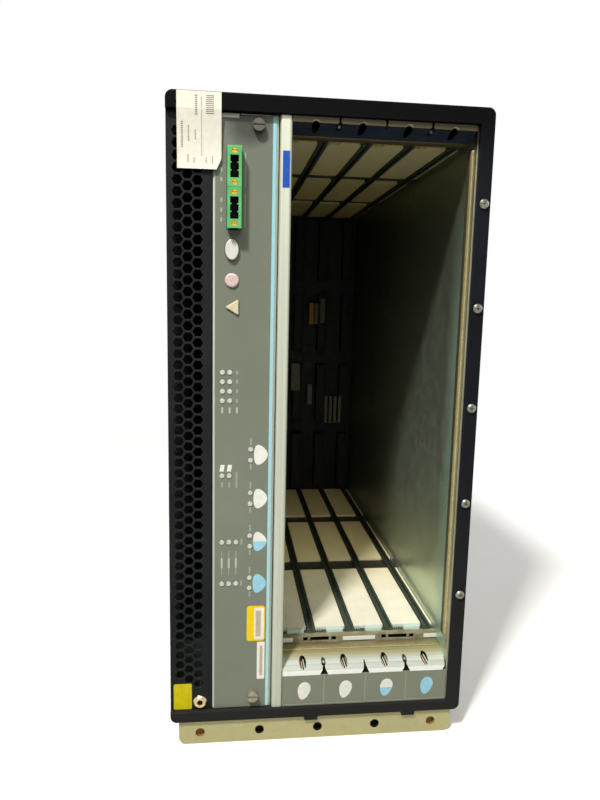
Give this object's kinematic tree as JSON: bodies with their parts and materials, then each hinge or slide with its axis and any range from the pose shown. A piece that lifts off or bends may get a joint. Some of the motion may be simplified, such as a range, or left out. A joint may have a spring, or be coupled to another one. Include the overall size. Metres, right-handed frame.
{
  "type": "router chassis",
  "caption": "Modular rack router chassis stood on its side: open card cage with slot rails, operator panel, intake grille, fan tray, air filter, power modules and a rack ear.",
  "frame": {"origin": "middle of the bounding box's bottom face, at the rack ear's free edge", "axes": "+X from the intake grille side to the base side, +Y from the front into the depth, +Z from the fan side up to the filter side; turn a quarter about Y for the rack position"},
  "size_m": [0.2212, 0.655, 0.463],
  "materials": {
    "charcoal_bezel": "satin powder coat, blue-black",
    "grille_black": "satin powder coat, near black",
    "zinc_sheet": "zinc plated sheet",
    "outer_sheet": "satin powder coat, blue-black",
    "ear_zinc": "yellowish zinc plate",
    "divider_metal": "bright plated sheet",
    "rail_aluminium": "extruded, bright",
    "vent_cream": "pale plated screen",
    "guide_dark": "moulded",
    "gasket_tan": "woven conductive gasket",
    "label_grey": "printed strip",
    "craft_grey": "printed overlay",
    "board_green": "circuit board",
    "connector_black": "moulded",
    "relay_green": "moulded",
    "screw_gold": "plated",
    "screw_steel": "plated steel",
    "button_white": "moulded",
    "lens_red": "unlit translucent lens",
    "lens_yellow": "unlit translucent lens",
    "lamp_clear": "unlit light pipe",
    "fan_black": "moulded",
    "filter_foam": "open foam",
    "handle_steel": "bent bar",
    "module_sheet": "plated case"
  },
  "bodies": {
    "chassis": {"fan_side_wall": "outer_sheet", "filter_side_wall": "outer_sheet", "top_cover": "outer_sheet", "base_pan": "outer_sheet", "corner_angles": "zinc_sheet", "rear_panel": "zinc_sheet", "divider_plate": "divider_metal", "cage_base_panel": "zinc_sheet", "fan_side_cage_wall": "zinc_sheet", "filter_side_cage_wall": "zinc_sheet", "fan_bay_front": "zinc_sheet", "step_contacts": "rail_aluminium", "fan_side_vent_screens": "vent_cream", "filter_side_vent_screens": "vent_cream", "fan_side_card_guides": "guide_dark", "filter_side_card_guides": "guide_dark", "fan_side_slot_rail": "rail_aluminium", "filter_side_slot_rail": "rail_aluminium", "slot_label_strip": "label_grey", "base_gasket": "gasket_tan", "slot_gaskets": "gasket_tan", "midplane": "board_green", "slot_connectors": "connector_black", "front_bezel": "charcoal_bezel", "bezel_screws": "screw_steel", "intake_grille": "grille_black", "esd_jack": "screw_steel", "craft_panel": "craft_grey", "craft_board": "board_green", "alarm_connectors": "relay_green", "alarm_connector_screws": "screw_gold", "round_alarm_lens": "lens_red", "triangle_alarm_lens": "lens_yellow", "status_lamps": "lamp_clear", "craft_captive_screws": "screw_steel", "rack_ear": "ear_zinc", "ear_screws": "screw_steel", "power_bay_walls": "zinc_sheet", "bay_covers": "module_sheet", "bay_cover_screws": "screw_steel"},
    "cutoff_button": {"cutoff_button": "button_white"},
    "fan_tray": {"fan_tray_pan": "zinc_sheet", "fan_tray_face": "zinc_sheet", "fan_tray_handle": "handle_steel", "fan_tray_screws": "screw_steel", "fan_housing_1": "fan_black", "fan_housing_2": "fan_black", "fan_housing_3": "fan_black"},
    "fan_rotor_1": {"fan_rotor_1": "fan_black"},
    "fan_rotor_2": {"fan_rotor_2": "fan_black"},
    "fan_rotor_3": {"fan_rotor_3": "fan_black"},
    "air_filter": {"filter_frame": "zinc_sheet", "filter_media": "filter_foam", "filter_screws": "screw_steel"},
    "power_module_1": {"power_module_1": "module_sheet", "power_module_1_handle": "handle_steel", "power_module_1_screws": "screw_steel"},
    "power_module_2": {"power_module_2": "module_sheet", "power_module_2_handle": "handle_steel", "power_module_2_screws": "screw_steel"}
  },
  "joints": [
    {"name": "cutoff_button_press", "type": "slide", "parent": "chassis", "child": "cutoff_button", "axis": [0, 1, 0], "range_m": [0, 0.001], "stiffness_N_per_m": 800},
    {"name": "fan_tray_slide", "type": "slide", "parent": "chassis", "child": "fan_tray", "axis": [0, 1, 0], "range_m": [0, 0.5]},
    {"name": "air_filter_slide", "type": "slide", "parent": "chassis", "child": "air_filter", "axis": [0, 1, 0], "range_m": [0, 0.5]},
    {"name": "power_module_1_slide", "type": "slide", "parent": "chassis", "child": "power_module_1", "axis": [0, 1, 0], "range_m": [0, 0.15]},
    {"name": "power_module_2_slide", "type": "slide", "parent": "chassis", "child": "power_module_2", "axis": [0, 1, 0], "range_m": [0, 0.15]},
    {"name": "fan_rotor_1_spin", "type": "hinge", "parent": "fan_tray", "child": "fan_rotor_1", "pos_m": [0.0358, -0.2264, 0.045], "axis": [0, 0, 1], "continuous": true},
    {"name": "fan_rotor_2_spin", "type": "hinge", "parent": "fan_tray", "child": "fan_rotor_2", "pos_m": [0.0358, -0.089, 0.045], "axis": [0, 0, 1], "continuous": true},
    {"name": "fan_rotor_3_spin", "type": "hinge", "parent": "fan_tray", "child": "fan_rotor_3", "pos_m": [0.0358, 0.0484, 0.045], "axis": [0, 0, 1], "continuous": true}
  ]
}
